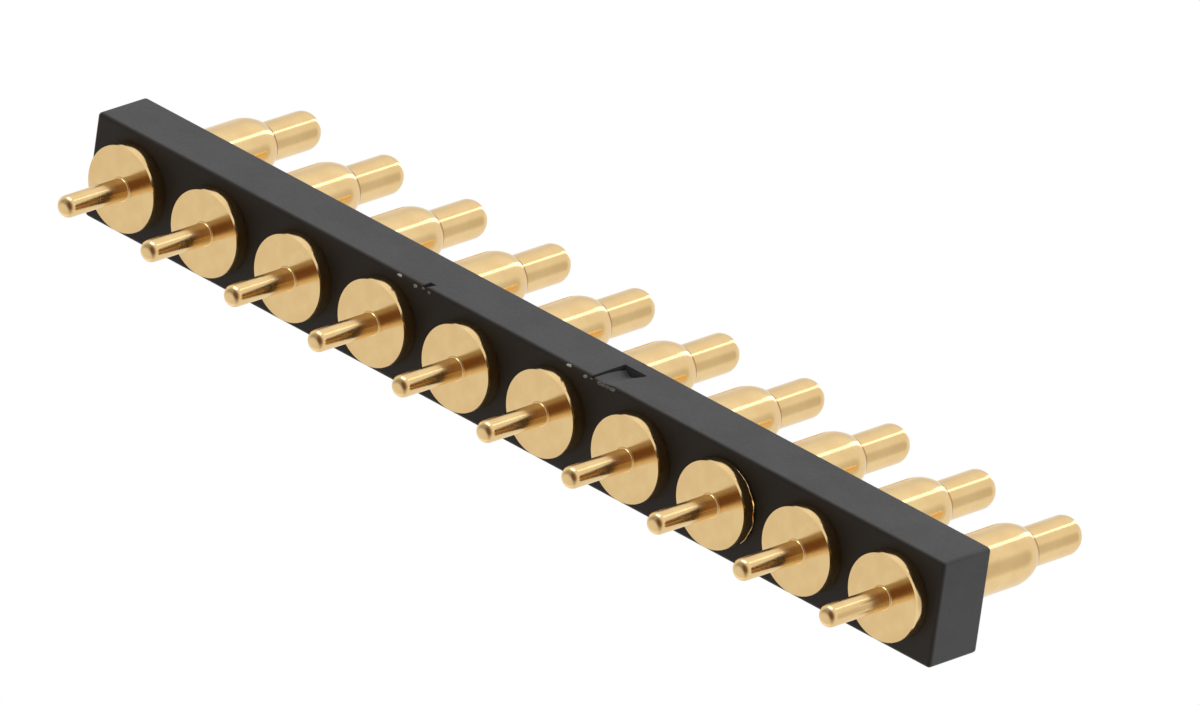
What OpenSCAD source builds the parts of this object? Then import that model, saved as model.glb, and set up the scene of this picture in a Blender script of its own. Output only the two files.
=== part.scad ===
// Spring-loaded single-row pin header for through-hole boards, in millimetres.
// The origin is on the board surface at the middle of the row.
// +X runs along the row, +Z points along the plungers, and the solder tails point to -Z.

/* [Row] */
// Number of spring pins in the row
pin_count = 10; // [2:1:12]
// Distance between neighbouring pin axes
pitch = 2.54; // [2.3:0.01:5.08]

/* [Insulator] */
// Distance from each end pin's axis to the end of the bar
end_margin = 1.27; // [1.1:0.01:3]
// Depth of the bar across the row
bar_depth = 2.5; // [2.2:0.05:5]
// Height of the bar along the pins
bar_height = 1.5; // [0.8:0.05:2.4]
// Radius on the bar's edges
bar_edge_r = 0.08; // [0.02:0.01:0.2]
// Place of the sheared gate's step, from the middle of the row
gate_x = 2.27; // [-2:0.01:2.4]
// Length of the sheared gate's floor along the bar
gate_floor = 0.33; // [0.1:0.01:0.6]
// Length of the ramp that runs out of the sheared gate
gate_ramp = 0.32; // [0.1:0.01:0.6]
// Depth of the sheared gate at its upper end
gate_depth = 0.21; // [0.08:0.01:0.25]
// Depth of the sheared gate at the bar's underside
gate_shallow = 0.05; // [0.02:0.01:0.07]
// Height of the sheared gate above the bar's underside
gate_height = 1.05; // [0.3:0.01:1.1]
// Distance from the sheared gate to the small second one
nick_offset = 5.08; // [3:0.01:6]
// Length of the second gate's floor along the bar
nick_floor = 0.15; // [0.05:0.01:0.3]
// Length of the ramp that runs out of the second gate
nick_ramp = 0.15; // [0.05:0.01:0.3]
// Depth of the second gate at its upper end
nick_depth = 0.08; // [0.06:0.01:0.15]
// Depth of the second gate at the bar's underside
nick_shallow = 0.05; // [0.02:0.01:0.05]
// Height of the second gate above the bar's underside
nick_height = 0.27; // [0.1:0.01:0.5]

/* [Barrel] */
// Diameter of the solder tail
tail_d = 0.5; // [0.4:0.01:0.8]
// Length of the solder tail below the board surface
tail_len = 1.8; // [1:0.05:4]
// Radius that rounds the end of the tail
tail_tip_r = 0.18; // [0.05:0.01:0.19]
// Radius of the fillet where the tail meets the flange
tail_root_r = 0.04; // [0.02:0.01:0.1]
// Thickness of the seating flange
flange_t = 0.35; // [0.2:0.01:0.8]
// Overhang of the seating flange beyond the barrel
flange_overhang = 0.3; // [0.15:0.01:0.4]
// Edge break on the flange rim
flange_edge = 0.02; // [0.01:0.01:0.08]
// Height of the barrel's mouth above the board surface
barrel_height = 4.37; // [3.9:0.01:7]
// Thickness of the barrel's wall
barrel_wall = 0.14; // [0.1:0.01:0.2]
// Length of the rolled-in mouth
roll_len = 0.6; // [0.4:0.01:0.8]
// Thickness of the rolled-in lip round the plunger
lip_t = 0.04; // [0.02:0.01:0.06]
// Thickness of the web between the flange and the bore's floor
web_t = 0.5; // [0.2:0.05:0.8]

/* [Plunger] */
// Diameter of the plunger's shaft
shaft_d = 0.9; // [0.7:0.01:1.1]
// Reach of the plunger's tip beyond the mouth at rest
tip_reach = 1.63; // [0.8:0.01:2.5]
// Diameter of the flat left on the rounded tip
tip_flat_d = 0.14; // [0.04:0.01:0.4]
// Step of the retained collar beyond the shaft
collar_step = 0.09; // [0.05:0.01:0.12]
// Length of the retained collar below the rolled mouth
collar_len = 0.5; // [0.3:0.05:0.9]
// Chamfer on the collar's lower edge
collar_edge = 0.06; // [0.02:0.01:0.1]

/* [Spring] */
// Diameter of the spring wire
wire_d = 0.12; // [0.08:0.01:0.15]
// Number of turns, one closed turn at each end included
coils = 7; // [5:1:8]
// Gap between the wires of a closed turn
closed_gap = 0.025; // [0.01:0.005:0.05]

/* [Fits] */
// Sliding clearance of the plunger in the mouth and of its collar in the bore, on the radius
slide_clear = 0.02; // [0.01:0.005:0.04]
// Gap between the collar's shoulder and the rolled mouth at rest
stop_gap = 0.01; // [0.005:0.005:0.03]
// Clearance of the spring in the bore, on the radius
spring_clear = 0.04; // [0.02:0.01:0.08]
// Clearance of the barrel in the bar's hole, on the radius
seat_clear = 0.01; // [0.005:0.005:0.02]

/* [Hidden] */
round_fn = 48;
tail_r = tail_d / 2;
shaft_r = shaft_d / 2;
mouth_r = shaft_r + slide_clear;
tip_r = shaft_r - tip_flat_d / 2;
collar_r = shaft_r + collar_step;
bore_r = collar_r + slide_clear;
barrel_r = bore_r + barrel_wall;
flange_r = barrel_r + flange_overhang;
hole_r = barrel_r + seat_clear;

row_len = (pin_count - 1) * pitch;
bar_len = row_len + 2 * end_margin;
bar_z = flange_t;

// The rolled mouth is an arc tangent to the barrel, and the collar's shoulder follows it
roll_drop = barrel_r - mouth_r - lip_t;
roll_r = (roll_len * roll_len + roll_drop * roll_drop) / (2 * roll_drop);
roll_centre_r = barrel_r - roll_r;
roll_z = barrel_height - roll_len;
roll_inner_r = roll_r - barrel_wall;
shoulder_r = roll_inner_r - stop_gap;

floor_z = flange_t + web_t;
collar_z = roll_z - collar_len;
tip_z = barrel_height + tip_reach;

// The spring stands between the bore's floor and the collar
wire_r = wire_d / 2;
coil_r = bore_r - spring_clear - wire_r;
closed_pitch = wire_d + closed_gap;
coil_rise = collar_z - floor_z - wire_d;
active_pitch = (coil_rise - 2 * closed_pitch) / (coils - 2);
steps_per_turn = 10;
wire_sides = 6;

// Short overlap that joins stacked outlines into one
join = 0.02;

function pin_x(i) = (i - (pin_count + 1) / 2) * pitch;
function pin_name(part, i) = str(part, "_", i < 10 ? "0" : "", i);
pins = [1 : pin_count];

// Rectangle from the axis outward between two heights
module band(r, z_low, z_high) {
    translate([0, z_low]) square([r, z_high - z_low]);
}

// Rectangle on the axis with its outer corner rounded, up or down
module rounded_band(r, z_flat, z_end, corner) {
    toward = sign(z_end - z_flat);
    corner_z = z_end - toward * corner;
    band(r, min(z_flat, corner_z), max(z_flat, corner_z));
    band(r - corner, min(z_flat, z_end), max(z_flat, z_end));
    intersection() {
        band(r, min(corner_z, z_end), max(corner_z, z_end));
        translate([r - corner, corner_z]) circle(r = corner, $fn = round_fn);
    }
}

// Part of the rolled mouth's arc between two radii from the axis
module roll_sector(arc_r, r_max, z_high) {
    intersection() {
        band(r_max, roll_z - join, z_high);
        translate([roll_centre_r, roll_z]) circle(r = arc_r, $fn = round_fn);
    }
}

module flange_outline() {
    polygon([
        [0, 0],
        [flange_r - flange_edge, 0],
        [flange_r, flange_edge],
        [flange_r, flange_t - flange_edge],
        [flange_r - flange_edge, flange_t],
        [0, flange_t]
    ]);
}

// Concave fillet between the tail and the flange
module tail_root_outline() {
    difference() {
        band(tail_r + tail_root_r, -tail_root_r, join);
        translate([tail_r + tail_root_r, -tail_root_r]) circle(r = tail_root_r, $fn = round_fn);
    }
}

module barrel_outline() {
    difference() {
        union() {
            rounded_band(tail_r, join, -tail_len, tail_tip_r);
            tail_root_outline();
            flange_outline();
            band(barrel_r, 0, roll_z);
            roll_sector(roll_r, barrel_r, barrel_height);
        }
        band(bore_r, floor_z, roll_z);
        roll_sector(roll_inner_r, bore_r, barrel_height);
        band(mouth_r, roll_z, barrel_height + join);
    }
}

module plunger_outline() {
    polygon([
        [0, collar_z],
        [collar_r - collar_edge, collar_z],
        [collar_r, collar_z + collar_edge],
        [collar_r, roll_z],
        [0, roll_z]
    ]);
    roll_sector(shoulder_r, collar_r, barrel_height);
    rounded_band(shaft_r, roll_z, tip_z, tip_r);
}

// Rectangle with rounded corners round the origin
module rounded_rectangle(w, h) {
    inset_x = w / 2 - bar_edge_r;
    inset_y = h / 2 - bar_edge_r;
    square([w, 2 * inset_y], center = true);
    square([2 * inset_x, h], center = true);
    for (sx = [-1, 1], sy = [-1, 1])
        translate([sx * inset_x, sy * inset_y]) circle(r = bar_edge_r, $fn = round_fn);
}

// Bar with all its edges rounded, where its three views meet
module rounded_bar() {
    translate([0, 0, bar_z + bar_height / 2]) intersection() {
        linear_extrude(bar_height, center = true) rounded_rectangle(bar_len, bar_depth);
        rotate([90, 0, 0]) linear_extrude(bar_depth, center = true) rounded_rectangle(bar_len, bar_height);
        rotate([90, 0, 90]) linear_extrude(bar_len, center = true) rounded_rectangle(bar_depth, bar_height);
    }
}

// Notch left where a moulding gate was sheared from the long side, deeper toward its upper end
module gate_cut(x, floor_len, ramp_len, depth, shallow, height) {
    tilt = atan((depth - shallow) / height);
    drop = depth + join;
    translate([x, -bar_depth / 2, bar_z]) rotate([-tilt, 0, 0]) translate([0, 0, -join])
        linear_extrude(height + join) polygon([
            [0, shallow - drop],
            [0, shallow],
            [floor_len, shallow],
            [floor_len + ramp_len * drop / depth, shallow - drop]
        ]);
}

module insulator() {
    color("#2b2a2a") difference() {
        rounded_bar();
        for (i = pins)
            translate([pin_x(i), 0, bar_z - join])
                cylinder(r = hole_r, h = bar_height + 2 * join, $fn = round_fn);
        gate_cut(gate_x, gate_floor, gate_ramp, gate_depth, gate_shallow, gate_height);
        gate_cut(gate_x - nick_offset, nick_floor, nick_ramp, nick_depth, nick_shallow, nick_height);
    }
}

module barrel(i) {
    color("#d9b56f") translate([pin_x(i), 0, 0]) rotate_extrude($fn = round_fn) barrel_outline();
}

module plunger(i) {
    color("#e2c384") translate([pin_x(i), 0, 0]) rotate_extrude($fn = round_fn) plunger_outline();
}

// Height of the wire's centre above its start, after a number of turns
function wire_rise(turn) =
    turn < 1 ? closed_pitch * turn :
    turn > coils - 1 ? coil_rise - closed_pitch * (coils - turn) :
    closed_pitch + active_pitch * (turn - 1);

// One corner of the wire's section: ring number along the wire, corner number round it
function wire_point(ring, corner) =
    let (turn = ring / steps_per_turn, around = 360 * turn, tilt = 360 * (corner + 0.5) / wire_sides)
    let (r = coil_r + wire_r * cos(tilt), z = wire_r + wire_rise(turn) + wire_r * sin(tilt))
    [r * cos(around), r * sin(around), floor_z + z];

module spring(i) {
    rings = coils * steps_per_turn;
    points = [for (ring = [0 : rings], corner = [0 : wire_sides - 1]) wire_point(ring, corner)];
    sides = [
        for (ring = [0 : rings - 1], corner = [0 : wire_sides - 1])
            let (next = (corner + 1) % wire_sides, base = ring * wire_sides, top = base + wire_sides)
                [base + corner, top + corner, top + next, base + next]
    ];
    start_cap = [for (corner = [0 : wire_sides - 1]) corner];
    end_cap = [for (corner = [wire_sides - 1 : -1 : 0]) rings * wire_sides + corner];
    color("#b9b4a8") translate([pin_x(i), 0, 0])
        polyhedron(points, concat(sides, [start_cap, end_cap]), convexity = 10);
}

insulator();
for (i = pins) {
    barrel(i);
    spring(i);
    plunger(i);
}
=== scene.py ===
"""Looks of a ten-pin spring-loaded header: turned gold pins in a black moulded bar."""
from collections import namedtuple
from math import acos, atan2, cos, degrees, pi, radians, sin, sqrt

import bmesh
import bpy
from mathutils import Matrix, Quaternion, Vector, noise


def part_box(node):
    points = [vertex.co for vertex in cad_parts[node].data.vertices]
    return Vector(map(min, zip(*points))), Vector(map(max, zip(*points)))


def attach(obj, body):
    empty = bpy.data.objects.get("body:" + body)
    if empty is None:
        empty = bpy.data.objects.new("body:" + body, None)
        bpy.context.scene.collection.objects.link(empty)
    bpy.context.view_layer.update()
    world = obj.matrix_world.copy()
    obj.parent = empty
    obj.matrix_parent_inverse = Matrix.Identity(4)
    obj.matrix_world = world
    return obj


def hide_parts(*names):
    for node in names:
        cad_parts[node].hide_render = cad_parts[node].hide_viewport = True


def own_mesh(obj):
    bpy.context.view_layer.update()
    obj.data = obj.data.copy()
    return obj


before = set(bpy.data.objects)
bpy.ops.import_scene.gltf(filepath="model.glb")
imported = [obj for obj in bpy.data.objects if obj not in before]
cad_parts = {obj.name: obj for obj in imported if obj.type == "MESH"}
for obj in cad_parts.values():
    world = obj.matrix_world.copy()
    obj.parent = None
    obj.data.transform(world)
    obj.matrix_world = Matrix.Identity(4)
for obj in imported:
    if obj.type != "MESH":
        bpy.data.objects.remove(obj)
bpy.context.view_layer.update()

# Sizes taken from the frame, in millimetres as all the modelling below
MM = 0.001
PIN_NUMBERS = [node.removeprefix("barrel_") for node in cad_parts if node.startswith("barrel_")]


def box_mm(node):
    """Lowest and highest corner of a node."""
    low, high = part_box(node)
    return low / MM, high / MM


bar_low, bar_high = box_mm("insulator")
barrel_low, barrel_high = box_mm("barrel_01")
plunger_low, plunger_high = box_mm("plunger_01")
spring_low, spring_high = box_mm("spring_01")

flange_r = (barrel_high.x - barrel_low.x) / 2
flange_top = bar_low.z
tail_end = barrel_low.z
mouth_z = barrel_high.z
collar_r = (plunger_high.x - plunger_low.x) / 2
collar_z = plunger_low.z
tip_z = plunger_high.z
floor_z = spring_low.z
spring_top = spring_high.z

# Turned forms of the pins
TAIL_R = 0.25
TAIL_TIP_R = 0.18
TAIL_ROOT_R = 0.04
FLANGE_EDGE_R = 0.012
# Steep bevel on the front edge of a flange: how far in it stands at each height
FLANGE_BEVEL = ((0.014, 0.0), (0.00175, 0.05), (0.0, 0.06))
FLANGE_OVERHANG = 0.3
BARREL_WALL = 0.14
ROLL_LEN = 0.6
LIP_T = 0.04
SHAFT_R = 0.45
TIP_R = 0.38
SLIDE_CLEAR = 0.02
STOP_GAP = 0.01
COLLAR_EDGE = 0.06
# Points round a turned form
AROUND = 96
# Angle in degrees from which an edge is sharp in shading
SHARP_ANGLE = 24

barrel_r = flange_r - FLANGE_OVERHANG
bore_r = barrel_r - BARREL_WALL
mouth_r = SHAFT_R + SLIDE_CLEAR
roll_drop = barrel_r - mouth_r - LIP_T
roll_r = (ROLL_LEN ** 2 + roll_drop ** 2) / (2 * roll_drop)
roll_centre_r = barrel_r - roll_r
roll_z = mouth_z - ROLL_LEN
roll_inner_r = roll_r - BARREL_WALL
shoulder_r = roll_inner_r - STOP_GAP

# A ridge turned up along part of the back edge of one flange. It goes so many degrees to each side of
# its middle, and fades over the last of them.
RIDGE_PIN = "08"
RIDGE_R = 0.024
RIDGE_MIDDLE = -4
RIDGE_SPAN = 76
RIDGE_FADE = 46
# How far the ridge wanders up and down, and over how many degrees
RIDGE_WAVE = 0.04
RIDGE_GRAIN = 14
# Rounding allowed where a point is set against the flange's radius
ROUNDING = 0.0002

# Moulded form of the bar
BAR_EDGE_R = 0.09
BAR_EDGE_STEPS = 5
HOLE_CLEAR = 0.01
HOLE_FLARE = 0.04
# How far the cutters reach beyond the bar
CUT_REACH = 0.2

# Two gates sheared from the front: place of the step, length, height, and depth below and above.
# The floor goes from a share of the depth at the step to all of it, stays flat and comes up again.
Gate = namedtuple("Gate", "x length height low high step_share flat_from flat_to fall")
GATES = [
    Gate(x=2.27, length=0.65, height=1.05, low=0.05, high=0.21, step_share=0.4,
         flat_from=0.3, flat_to=0.46, fall=1.0),
    Gate(x=-2.81, length=0.30, height=0.27, low=0.05, high=0.08, step_share=1.0,
         flat_from=0.08, flat_to=0.15, fall=5.0),
]
# How far the foot of a gate's step lies under it, as a share of the depth
GATE_UNDERCUT = 0.10
# How fast a gate deepens toward its upper end
GATE_POWER = 2.5
# Points across the floor of a gate, as shares of its length
GATE_FLOOR = (0.08, 0.3, 0.5, 0.62, 0.8)
# How rough the torn floor is, and the size of its grain
GATE_TEAR = 0.012
GATE_GRAIN = 0.096
# Crack along the foot of a gate's step
CRACK_WIDTH = 0.06
CRACK_DEPTH = 0.07
# Specks torn up beside the gates: x, y, radius and how pale they are
CHIPS = [
    (1.61, -1.21, 0.052, 0.65),
    (2.10, -1.16, 0.055, 0.33),
    (2.28, -1.18, 0.030, 0.20),
    (2.53, -1.17, 0.060, 0.13),
    (2.64, -1.175, 0.060, 0.13),
    (2.75, -1.18, 0.060, 0.13),
    (2.86, -1.18, 0.060, 0.15),
    (2.94, -1.185, 0.055, 0.15),
    (-3.48, -1.20, 0.052, 0.65),
    (-2.99, -1.155, 0.055, 0.33),
    (-2.77, -1.19, 0.040, 0.15),
    (-2.59, -1.16, 0.042, 0.17),
]
# How uneven the specks are, and how far they are stretched along each axis
CHIP_UNEVEN = 0.8
CHIP_FORM = Vector((1.1, 0.65, 0.5))

# Spring wire, with a closed turn at each end
WIRE_R = 0.06
COILS = 7
SPRING_CLEAR = 0.04
CLOSED_GAP = 0.025

# The two shades between which each material drifts
GOLD_SHADES = (0.90, 0.63, 0.30), (0.95, 0.69, 0.34)
BAR_SHADES = (0.057, 0.056, 0.057), (0.065, 0.064, 0.066)
WIRE_SHADES = (0.52, 0.50, 0.47), (0.62, 0.60, 0.57)
# Least and greatest roughness of each
GOLD_ROUGHNESS = (0.11, 0.17)
BAR_ROUGHNESS = (0.42, 0.54)
WIRE_ROUGHNESS = (0.25, 0.35)
# Roughness that the tails have more than the rest of a pin, and the height from which it fades
TAIL_DULL = 0.07
TAIL_DULL_TOP = -0.1
# Darker line painted on the rolled lip next to the plunger, and how far below the mouth it starts
LIP_COLOUR = (0.28, 0.17, 0.08)
LIP_LINE_REACH = 0.12
# Painted shade on the bar's underside, and the heights above it between which it fades
UNDER_SHADE_COLOUR = (0.023, 0.018, 0.014)
UNDER_SHADE_FADE = (0.02, 0.12)
# Rubbed edges of the bar, and the distances from an edge between which they fade
RUBBED_COLOUR = (0.072, 0.070, 0.070)
RUBBED_FADE = (0.01, 0.09)
TORN_COLOUR = (0.62, 0.60, 0.56)
# The stretch of a noise that is spread over the whole range of a look
NOISE_SPAN = (0.3, 0.7)
CLOUD_SPAN = (0.35, 0.65)
SCUFF_SPAN = (0.40, 0.80)

# Camera, as the photograph was taken
CAMERA_AZIMUTH = 54.0
CAMERA_ELEVATION = -43.53
CAMERA_ROLL = 71.56
CAMERA_DISTANCE = 600.0
CAMERA_AIM = Vector((1.257, -1.024, 1.704))
CAMERA_LENS = 841.4
CAMERA_SENSOR = 36.0
# Nearest and farthest distance that the camera sees, in metres
CAMERA_CLIP = (0.01, 10.0)

# The light all round the object, and what it gains toward some directions: direction, inner and outer
# angle in degrees, and colour
WORLD_COLOUR = (0.86, 0.86, 0.86)
WORLD_LOBES = [
    ((0.00, 0.00, -1.00), 46, 95, (-0.51, -0.52, -0.53)),
    ((-0.28, 0.66, -0.69), 24, 55, (0.42, 0.42, 0.42)),
    ((0.59, -0.43, -0.69), 20, 55, (-0.20, -0.26, -0.28)),
    ((0.72, 0.00, 0.69), 6, 26, (-0.22, -0.24, -0.27)),
    ((-0.63, -0.36, 0.69), 5, 35, (-0.08, -0.08, -0.08)),
    ((-0.26, -0.68, 0.69), 8, 28, (0.08, 0.08, 0.08)),
]
# The part of the white backdrop that metal mirrors: direction, inner and outer angle
BACKDROP = ((-0.59, 0.43, 0.69), 6, 18)
# Lamps: direction, direction of the long side, distance, length, width in millimetres and power in watts
LAMPS = {
    "strip": ((-0.10, -0.33, 0.95), (0.50, -0.86, -0.09), 205.0, 340.0, 24.0, 0.040),
    "fill": ((-0.25, -0.96, 0.05), (1.00, 0.00, 0.00), 220.0, 140.0, 90.0, 0.16),
}
# Floor under the tails, and the two shades between which it drifts
FLOOR_SIZE = 500.0
FLOOR_SHADES = (0.85, 0.87)


def arc(centre_r, centre_z, radius, start, end, steps):
    """Points on an arc of a turned outline, with the angles in degrees from the outward direction."""
    angles = [radians(start + (end - start) * i / steps) for i in range(steps + 1)]
    return [(centre_r + radius * cos(a), centre_z + radius * sin(a)) for a in angles]


def barrel_profile(ridge):
    """Outline of a barrel from the end of its tail up the outside, over the lip and down the bore."""
    edge = flange_r - FLANGE_EDGE_R
    across = mouth_r - roll_centre_r
    reach = roll_r + across - ROLL_LEN
    lip_r = sqrt(reach ** 2 + roll_r ** 2 - ROLL_LEN ** 2 - across ** 2) - reach
    lip_angle = degrees(atan2(ROLL_LEN - lip_r, across + lip_r))
    inner_end = degrees(acos(across / roll_inner_r))
    back_edge = arc(edge, flange_top - FLANGE_EDGE_R, FLANGE_EDGE_R, 0, 90, 6)
    if ridge:
        # The first point keeps the wall below the ridge even in shading
        back_edge = [(flange_r, flange_top - 4 * RIDGE_R)]
        back_edge += arc(flange_r - RIDGE_R / 2, flange_top - 2 * RIDGE_R, RIDGE_R, -60, 90, 8)
    return [
        (0, tail_end),
        *arc(TAIL_R - TAIL_TIP_R, tail_end + TAIL_TIP_R, TAIL_TIP_R, -90, 0, 10),
        *arc(TAIL_R + TAIL_ROOT_R, -TAIL_ROOT_R, TAIL_ROOT_R, 180, 90, 6),
        *[(flange_r - inward, up) for inward, up in FLANGE_BEVEL],
        *back_edge,
        (barrel_r, flange_top),
        *arc(roll_centre_r, roll_z, roll_r, 0, lip_angle, 16),
        *arc(mouth_r + lip_r, mouth_z - lip_r, lip_r, lip_angle, 180, 8),
        *arc(roll_centre_r, roll_z, roll_inner_r, inner_end, 0, 8),
        (bore_r, floor_z),
        (0, floor_z),
    ]


def plunger_profile():
    """Outline of a plunger from the foot of its collar up to the rounded tip."""
    shoulder_start = degrees(acos((collar_r - roll_centre_r) / shoulder_r))
    shoulder_end = degrees(acos((SHAFT_R - roll_centre_r) / shoulder_r))
    return [
        (0, collar_z),
        (collar_r - COLLAR_EDGE, collar_z),
        (collar_r, collar_z + COLLAR_EDGE),
        *arc(roll_centre_r, roll_z, shoulder_r, shoulder_start, shoulder_end, 6),
        *arc(SHAFT_R - TIP_R, tip_z - TIP_R, TIP_R, 0, 90, 14),
        (0, tip_z),
    ]


def turn(mesh, profile, around=AROUND):
    """Adds the surface that an outline sweeps round the Z axis."""
    rings = []
    for r, z in profile:
        count = around if r > 0 else 1
        spots = [2 * pi * k / around for k in range(count)]
        rings.append([mesh.verts.new((r * cos(a), r * sin(a), z)) for a in spots])
    for lower, upper in zip(rings, rings[1:]):
        for k in range(around):
            corners = [lower[k % len(lower)], lower[(k + 1) % around % len(lower)]]
            corners += [upper[(k + 1) % around % len(upper)], upper[k % len(upper)]]
            mesh.faces.new(list(dict.fromkeys(corners)))
    return mesh


def shape_ridge(mesh):
    """Makes the ridge ragged and takes it down to the flange's radius outside its span.

    A barrel without a ridge stays as it is.
    """
    for vert in mesh.verts:
        reach = vert.co.xy.length
        if reach > flange_r + ROUNDING:
            angle = degrees(atan2(vert.co.y, vert.co.x))
            keep = min(max((RIDGE_SPAN - abs(angle - RIDGE_MIDDLE)) / RIDGE_FADE, 0), 1)
            vert.co.xy *= 1 - (1 - keep) * (reach - flange_r) / reach
            vert.co.z += RIDGE_WAVE * keep * noise.noise(Vector((angle / RIDGE_GRAIN, 0, 0)))
    return mesh


def add_piece(name, mesh, body, nodes, material, place=Vector()):
    """Turns a bmesh in millimetres into a piece of the object that rides on a body."""
    bmesh.ops.recalc_face_normals(mesh, faces=mesh.faces)
    data = bpy.data.meshes.new(name)
    bmesh.ops.scale(mesh, vec=Vector((MM, MM, MM)), verts=mesh.verts)
    mesh.to_mesh(data)
    mesh.free()
    data.materials.append(material)
    data.shade_smooth()
    data.set_sharp_from_angle(angle=radians(SHARP_ANGLE))
    piece = bpy.data.objects.new(name, data)
    piece.location = place * MM
    bpy.context.scene.collection.objects.link(piece)
    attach(piece, body)
    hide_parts(*nodes)
    return piece


def add_weighted_normals(piece):
    """Keeps flat faces flat in shading beside their rounded edges."""
    modifier = piece.modifiers.new("flat_faces", "WEIGHTED_NORMAL")
    modifier.keep_sharp = True


def pin_place(number):
    """Middle of a pin on the row."""
    low, high = box_mm(f"barrel_{number}")
    return Vector(((low.x + high.x) / 2, 0, 0))


class Nodes:
    """Short way to add and join the nodes of one shader."""

    def __init__(self, tree):
        self.tree = tree
        tree.nodes.clear()

    def add(self, kind, inputs=None, **settings):
        """Adds a node with its settings, and a value or a link for each input named."""
        node = self.tree.nodes.new("ShaderNode" + kind)
        for key, value in settings.items():
            setattr(node, key, value)
        for key, value in (inputs or {}).items():
            self.feed(node.inputs[key], value)
        return node

    def feed(self, socket, value):
        """Gives an input a value, or a link where the value is an output."""
        if isinstance(value, bpy.types.NodeSocket):
            self.tree.links.new(value, socket)
        else:
            socket.default_value = value

    def math(self, operation, *values):
        """Result of one operation on values or links."""
        node = self.add("Math", dict(enumerate(values)), operation=operation)
        return node.outputs[0]

    def ramp(self, value, low, high, out_low=0.0, out_high=1.0):
        """Smooth step from one level to another while a value goes from low to high."""
        inputs = {"Value": value, "From Min": low, "From Max": high}
        inputs |= {"To Min": out_low, "To Max": out_high}
        return self.add("MapRange", inputs, interpolation_type="SMOOTHSTEP").outputs["Result"]

    def tint(self, share, first, second):
        """Colour between two, each a colour or a link. They are inputs 6 and 7 of a Mix node."""
        node = self.add("Mix", {0: share}, data_type="RGBA")
        for socket, value in ((node.inputs[6], first), (node.inputs[7], second)):
            self.feed(socket, value if isinstance(value, bpy.types.NodeSocket) else (*value, 1))
        return node.outputs[2]


def new_material(name):
    """An empty material, and what adds its nodes."""
    material = bpy.data.materials.new(name)
    material.use_nodes = True
    return material, Nodes(material.node_tree)


def gold_material():
    """Hard gold plating over turned brass, with fine turning marks round the pin's axis."""
    material, n = new_material("gold_plate")
    coords = n.add("TexCoord").outputs["Object"]
    flat = n.add("VectorMath", {0: coords, 1: (1, 1, 0)}, operation="MULTIPLY").outputs[0]
    radius = n.add("VectorMath", {0: flat}, operation="LENGTH").outputs["Value"]
    height = n.add("SeparateXYZ", {0: coords}).outputs["Z"]
    along = n.math("ADD", radius, height)
    turned = n.add("TexNoise", {"W": along, "Scale": 30000.0, "Detail": 2.0}, noise_dimensions="1D")
    marks = turned.outputs["Fac"]
    cloud = n.add("TexNoise", {"Vector": coords, "Scale": 1800.0, "Detail": 3.0}).outputs["Fac"]
    gold_tone = n.tint(n.ramp(cloud, *CLOUD_SPAN), *GOLD_SHADES)
    # A darker line is painted on the rolled lip, next to the plunger
    upper = n.ramp(height, (mouth_z - LIP_LINE_REACH) * MM, (mouth_z - LIP_LINE_REACH / 2) * MM)
    rolled = n.math("MULTIPLY", upper, n.math("GREATER_THAN", radius, (mouth_r + SHAFT_R) / 2 * MM))
    colour = n.tint(rolled, gold_tone, LIP_COLOUR)
    dull = n.ramp(height, TAIL_DULL_TOP * MM, 0.0, TAIL_DULL, 0.0)
    bump = n.add("Bump", {"Strength": 0.25, "Distance": 0.0000004, "Height": marks})
    shader = n.add("BsdfPrincipled", {
        "Base Color": colour,
        "Metallic": 1.0,
        "Roughness": n.math("ADD", n.ramp(marks, *NOISE_SPAN, *GOLD_ROUGHNESS), dull),
        "Normal": bump.outputs["Normal"],
    })
    n.add("OutputMaterial", {"Surface": shader.outputs["BSDF"]})
    return material


def edge_distance(n, coords):
    """Distance from the nearest edge of the bar, in metres: the middle one of three face distances."""
    centre = (bar_low + bar_high) / 2 * MM
    half = (bar_high - bar_low) / 2 * MM
    offset = n.add("VectorMath", {0: coords, 1: centre}, operation="SUBTRACT").outputs[0]
    span = n.add("VectorMath", {0: offset}, operation="ABSOLUTE").outputs[0]
    inside = n.add("VectorMath", {0: half, 1: span}, operation="SUBTRACT").outputs[0]
    x, y, z = n.add("SeparateXYZ", {0: inside}).outputs
    lower = n.math("MINIMUM", x, y)
    upper = n.math("MAXIMUM", x, y)
    return n.math("MAXIMUM", lower, n.math("MINIMUM", upper, z))


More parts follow.
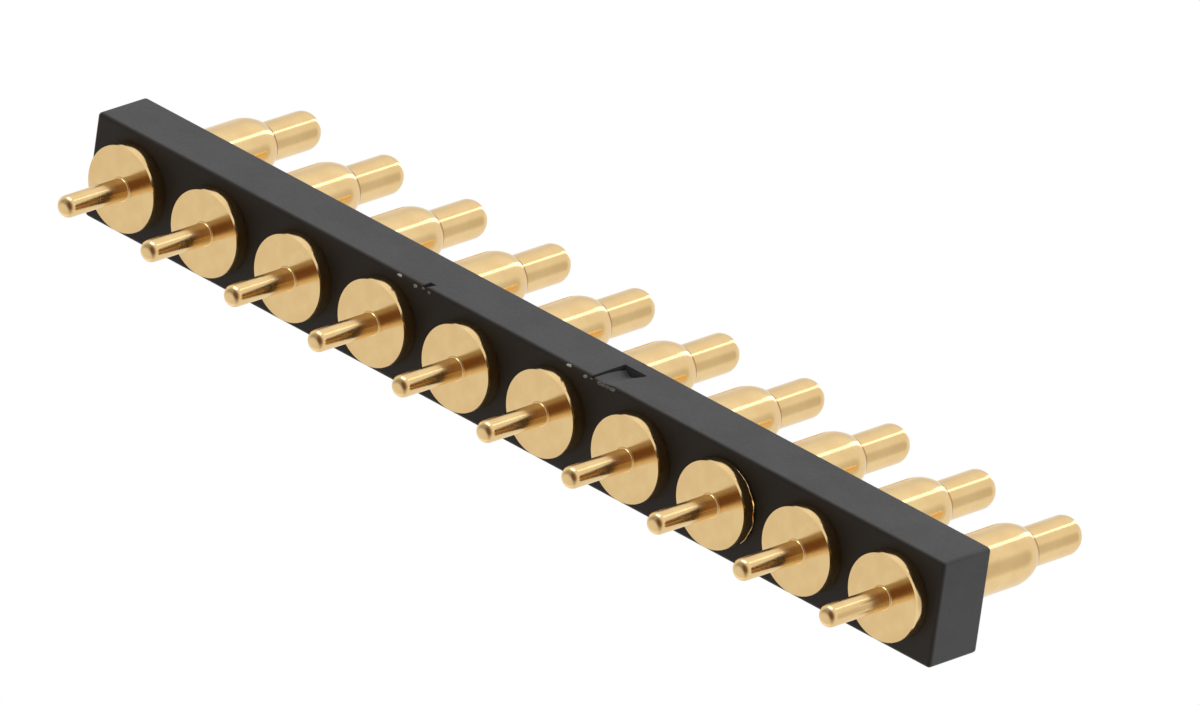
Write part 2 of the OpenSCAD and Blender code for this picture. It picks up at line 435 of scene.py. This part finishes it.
def plastic_material():
    """Black glass-filled moulding with a fine grain, rubbed edges, painted shade on its underside and
    pale specks.
    """
    material, n = new_material("black_plastic")
    coords = n.add("TexCoord").outputs["Object"]
    grain = n.add("TexNoise", {"Vector": coords, "Scale": 22000.0, "Detail": 3.0}).outputs["Fac"]
    cloud = n.add("TexNoise", {"Vector": coords, "Scale": 900.0, "Detail": 3.0}).outputs["Fac"]
    scuff = n.add("TexNoise", {"Vector": coords, "Scale": 5000.0, "Detail": 3.0}).outputs["Fac"]
    torn = n.add("Attribute", attribute_name="torn").outputs["Fac"]
    height = n.add("SeparateXYZ", {0: coords}).outputs["Z"]
    # Painted shade: the underside and the foot of each side are darkened
    under = n.ramp(height, *[(bar_low.z + above) * MM for above in UNDER_SHADE_FADE], 1.0, 0.0)
    side = n.tint(n.ramp(cloud, *CLOUD_SPAN), *BAR_SHADES)
    edge = n.ramp(edge_distance(n, coords), *[away * MM for away in RUBBED_FADE], 1.0, 0.0)
    rubbed = n.math("MULTIPLY", edge, n.ramp(scuff, *SCUFF_SPAN))
    worn = n.tint(rubbed, side, RUBBED_COLOUR)
    base = n.tint(under, worn, UNDER_SHADE_COLOUR)
    colour = n.tint(torn, base, TORN_COLOUR)
    bump = n.add("Bump", {"Strength": 0.3, "Distance": 0.000004, "Height": grain})
    shader = n.add("BsdfPrincipled", {
        "Base Color": colour,
        "Roughness": n.ramp(grain, *NOISE_SPAN, *BAR_ROUGHNESS),
        "Specular IOR Level": 0.2,
        "Normal": bump.outputs["Normal"],
    })
    n.add("OutputMaterial", {"Surface": shader.outputs["BSDF"]})
    return material


def steel_material():
    """Drawn spring wire with fine streaks."""
    material, n = new_material("spring_wire")
    coords = n.add("TexCoord").outputs["Object"]
    streak = n.add("TexNoise", {"Vector": coords, "Scale": 9000.0, "Detail": 2.0}).outputs["Fac"]
    shader = n.add("BsdfPrincipled", {
        "Base Color": n.tint(streak, *WIRE_SHADES),
        "Metallic": 1.0,
        "Roughness": n.ramp(streak, *NOISE_SPAN, *WIRE_ROUGHNESS),
    })
    n.add("OutputMaterial", {"Surface": shader.outputs["BSDF"]})
    return material


gold = gold_material()
plastic = plastic_material()
steel = steel_material()


def add_pins():
    """A barrel and a plunger at each place on the row."""
    for number in PIN_NUMBERS:
        place = pin_place(number)
        turned = turn(bmesh.new(), barrel_profile(ridge=number == RIDGE_PIN))
        barrel = add_piece(f"gold_barrel_{number}", shape_ridge(turned),
                           "header", [f"barrel_{number}"], gold, place)
        plunger = add_piece(f"gold_plunger_{number}", turn(bmesh.new(), plunger_profile()),
                            f"plunger_{number}", [f"plunger_{number}"], gold, place)
        add_weighted_normals(barrel)
        add_weighted_normals(plunger)


def spring_mesh(steps=40, sides=10):
    """A round wire wound into a helix with a closed turn at each end."""
    mesh = bmesh.new()
    coil_r = bore_r - SPRING_CLEAR - WIRE_R
    closed = 2 * WIRE_R + CLOSED_GAP
    rise = spring_top - floor_z - 2 * WIRE_R
    active = (rise - 2 * closed) / (COILS - 2)
    rings = []
    for i in range(COILS * steps + 1):
        at = i / steps
        open_turns = min(max(at - 1, 0), COILS - 2)
        climb = (at - open_turns) * closed + open_turns * active
        centre_z = floor_z + WIRE_R + climb
        ring = []
        for k in range(sides):
            tilt = 2 * pi * k / sides
            r = coil_r + WIRE_R * cos(tilt)
            spot = (r * cos(2 * pi * at), r * sin(2 * pi * at), centre_z + WIRE_R * sin(tilt))
            ring.append(mesh.verts.new(spot))
        rings.append(ring)
    for lower, upper in zip(rings, rings[1:]):
        for k in range(sides):
            mesh.faces.new((lower[k], upper[k], upper[(k + 1) % sides], lower[(k + 1) % sides]))
    mesh.faces.new(rings[0])
    mesh.faces.new(rings[-1][::-1])
    return mesh


def add_springs():
    """A spring in each barrel, each with a mesh of its own."""
    for number in PIN_NUMBERS:
        place = pin_place(number)
        spring = add_piece(f"coil_spring_{number}", spring_mesh(), "header",
                           [f"spring_{number}"], steel, place)
        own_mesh(spring)


def block(low, high):
    """A bmesh box between two corners."""
    mesh = bmesh.new()
    bmesh.ops.create_cube(mesh, size=1.0)
    bmesh.ops.scale(mesh, vec=high - low, verts=mesh.verts)
    bmesh.ops.translate(mesh, vec=(low + high) / 2, verts=mesh.verts)
    return mesh


def merge(mesh, part):
    """Adds one bmesh to another and frees it."""
    data = bpy.data.meshes.new("part")
    part.to_mesh(data)
    part.free()
    mesh.from_mesh(data)
    bpy.data.meshes.remove(data)


def hole_cutter(x):
    """Round hole through the bar with its two mouths flared."""
    r = barrel_r + HOLE_CLEAR
    wide = r + HOLE_FLARE + CUT_REACH
    part = turn(bmesh.new(), [
        (0, bar_low.z - CUT_REACH),
        (wide, bar_low.z - CUT_REACH),
        (r, bar_low.z + HOLE_FLARE),
        (r, bar_high.z - HOLE_FLARE),
        (wide, bar_high.z + CUT_REACH),
        (0, bar_high.z + CUT_REACH),
    ])
    bmesh.ops.translate(part, vec=Vector((x, 0, 0)), verts=part.verts)
    return part


def gate_share(gate, along):
    """Share of the full depth at a place across the floor of a gate."""
    if along < gate.flat_from:
        return gate.step_share + (1 - gate.step_share) * along / gate.flat_from
    return ((1 - max(along, gate.flat_to)) / (1 - gate.flat_to)) ** gate.fall


def gate_cutter(gate, steps=12):
    """Wedge with a torn floor and a crack at its foot, which shears a gate's mark into the bar."""
    front = bar_low.y
    low, high = bar_low.z - CUT_REACH, bar_low.z + gate.height
    end = gate.x + gate.length
    part = bmesh.new()
    rings = []
    for i in range(steps + 1):
        z = low + (high - low) * i / steps
        rise = max(0, z - bar_low.z) / gate.height
        depth = gate.low + (gate.high - gate.low) * rise ** GATE_POWER
        foot = gate.x - GATE_UNDERCUT * depth
        crack_y = front + depth * gate.step_share + CRACK_DEPTH
        ring = [Vector((gate.x, front - CUT_REACH, z)), Vector((gate.x, front, z))]
        ring += [Vector((foot, crack_y, z)), Vector((foot + CRACK_WIDTH / 2, crack_y, z))]
        start = foot + CRACK_WIDTH
        for along in GATE_FLOOR:
            spot_x = start + (end - start) * (along - GATE_FLOOR[0]) / (1 - GATE_FLOOR[0])
            tear = GATE_TEAR * noise.noise(Vector((spot_x, depth, z)) / GATE_GRAIN)
            spot_y = front + depth * gate_share(gate, along) + tear * (1 - along)
            ring.append(Vector((spot_x, spot_y, z)))
        ring += [Vector((end, front, z)), Vector((end, front - CUT_REACH, z))]
        rings.append([part.verts.new(spot) for spot in ring])
    count = len(rings[0])
    for lower, upper in zip(rings, rings[1:]):
        for k in range(count):
            part.faces.new((lower[k], lower[(k + 1) % count], upper[(k + 1) % count], upper[k]))
    part.faces.new(rings[0])
    part.faces.new(rings[-1][::-1])
    return part


def cut(mesh, cutter):
    """Boolean difference of two closed bmeshes."""
    objects = []
    for name, part in (("whole", mesh), ("cutter", cutter)):
        bmesh.ops.recalc_face_normals(part, faces=part.faces)
        data = bpy.data.meshes.new(name)
        part.to_mesh(data)
        part.free()
        objects.append(bpy.data.objects.new(name, data))
        bpy.context.scene.collection.objects.link(objects[-1])
    whole, tool = objects
    modifier = whole.modifiers.new("cut", "BOOLEAN")
    modifier.operation = "DIFFERENCE"
    modifier.solver = "EXACT"
    modifier.object = tool
    shaped = whole.evaluated_get(bpy.context.evaluated_depsgraph_get())
    result = bmesh.new()
    result.from_mesh(shaped.to_mesh())
    shaped.to_mesh_clear()
    for item in objects:
        data = item.data
        bpy.data.objects.remove(item)
        bpy.data.meshes.remove(data)
    return result


def add_chips(mesh):
    """Small pale specks of torn plastic, half sunk in the underside."""
    torn = mesh.verts.layers.float.new("torn")
    for x, y, r, pale in CHIPS:
        chip = bmesh.ops.create_icosphere(mesh, subdivisions=2, radius=r)["verts"]
        for vert in chip:
            vert.co *= 1 + CHIP_UNEVEN * noise.noise(vert.co / r + Vector((x, y, 0)) / r)
            vert.co = vert.co * CHIP_FORM + Vector((x, y, bar_low.z))
            vert.co.y = max(vert.co.y, bar_low.y)
            vert[torn] = pale


def add_bar():
    """The moulded bar with its holes, gate marks and torn specks."""
    mesh = block(bar_low, bar_high)
    bmesh.ops.bevel(mesh, geom=mesh.edges[:], offset=BAR_EDGE_R, segments=BAR_EDGE_STEPS, profile=0.5,
                    affect="EDGES")
    cutter = bmesh.new()
    for number in PIN_NUMBERS:
        merge(cutter, hole_cutter(pin_place(number).x))
    for gate in GATES:
        merge(cutter, gate_cutter(gate))
    shaped = cut(mesh, cutter)
    add_chips(shaped)
    bar = add_piece("moulded_bar", shaped, "header", ["insulator"], plastic)
    add_weighted_normals(bar)


def add_camera():
    """Camera on the photograph's line of sight."""
    data = bpy.data.cameras.new("camera")
    data.lens = CAMERA_LENS
    data.sensor_width = CAMERA_SENSOR
    data.clip_start, data.clip_end = CAMERA_CLIP
    camera = bpy.data.objects.new("camera", data)
    bpy.context.scene.collection.objects.link(camera)
    a = radians(CAMERA_AZIMUTH)
    e = radians(CAMERA_ELEVATION)
    back = Vector((sin(a) * cos(e), -cos(a) * cos(e), sin(e)))
    camera.location = (CAMERA_AIM + back * CAMERA_DISTANCE) * MM
    camera.rotation_mode = "QUATERNION"
    level = (-back).to_track_quat("-Z", "Y")
    camera.rotation_quaternion = level @ Quaternion((0, 0, 1), radians(CAMERA_ROLL))
    bpy.context.scene.camera = camera


def cone(n, direction, axis, inner, outer):
    """Level that falls from 1 to 0 between two angles in degrees from an axis."""
    facing = n.add("VectorMath", {0: direction, 1: Vector(axis).normalized()}, operation="DOT_PRODUCT")
    return n.ramp(facing.outputs["Value"], cos(radians(outer)), cos(radians(inner)))


def add_world():
    """Soft light from all round, and a white backdrop for the camera, which metal mirrors in part."""
    world = bpy.data.worlds.new("studio")
    bpy.context.scene.world = world
    world.use_nodes = True
    n = Nodes(world.node_tree)
    direction = n.add("TexCoord").outputs["Generated"]
    colour = WORLD_COLOUR
    for axis, inner, outer, gain in WORLD_LOBES:
        lobe = cone(n, direction, axis, inner, outer)
        colour = n.add("VectorMath", {0: lobe, 1: gain, 2: colour}, operation="MULTIPLY_ADD").outputs[0]
    light = n.add("Background", {"Color": colour, "Strength": 1.0})
    backdrop = n.add("Background", {"Color": (1, 1, 1, 1), "Strength": 1.0})
    paths = n.add("LightPath").outputs
    mirrored = n.math("MULTIPLY", paths["Is Glossy Ray"], cone(n, direction, *BACKDROP))
    seen = n.math("MAXIMUM", paths["Is Camera Ray"], mirrored)
    mix = n.add("MixShader", {0: seen, 1: light.outputs[0], 2: backdrop.outputs[0]})
    n.add("OutputWorld", {"Surface": mix.outputs[0]})


def add_lamp(name, direction, long_side, distance, length, width, power):
    """Rectangular lamp that faces the object."""
    data = bpy.data.lights.new(name, "AREA")
    data.shape = "RECTANGLE"
    data.size = length * MM
    data.size_y = width * MM
    data.energy = power
    lamp = bpy.data.objects.new(name, data)
    bpy.context.scene.collection.objects.link(lamp)
    back = Vector(direction).normalized()
    across = back.cross(Vector(long_side)).normalized()
    turned = Matrix((across.cross(back), across, back)).transposed()
    lamp.location = back * distance * MM
    lamp.rotation_mode = "QUATERNION"
    lamp.rotation_quaternion = turned.to_quaternion()


def add_floor():
    """Pale floor under the tails, seen from above only."""
    mesh = bmesh.new()
    bmesh.ops.create_grid(mesh, x_segments=1, y_segments=1, size=FLOOR_SIZE * MM)
    data = bpy.data.meshes.new("floor")
    mesh.to_mesh(data)
    mesh.free()
    floor = bpy.data.objects.new("floor", data)
    floor.location.z = tail_end * MM
    floor.visible_glossy = False
    bpy.context.scene.collection.objects.link(floor)
    material, n = new_material("pale_floor")
    coords = n.add("TexCoord").outputs["Object"]
    speck = n.add("TexNoise", {"Vector": coords, "Scale": 900.0}).outputs["Fac"]
    shade = n.ramp(speck, *NOISE_SPAN, *FLOOR_SHADES)
    pale = n.add("BsdfDiffuse", {"Color": shade})
    clear = n.add("BsdfTransparent")
    under = n.add("NewGeometry").outputs["Backfacing"]
    mix = n.add("MixShader", {0: under, 1: pale.outputs[0], 2: clear.outputs[0]})
    n.add("OutputMaterial", {"Surface": mix.outputs[0]})
    data.materials.append(material)


add_pins()
add_springs()
add_bar()
add_camera()
add_world()
for lamp_name, lamp_values in LAMPS.items():
    add_lamp(lamp_name, *lamp_values)
add_floor()
bpy.context.scene.view_settings.view_transform = "Standard"
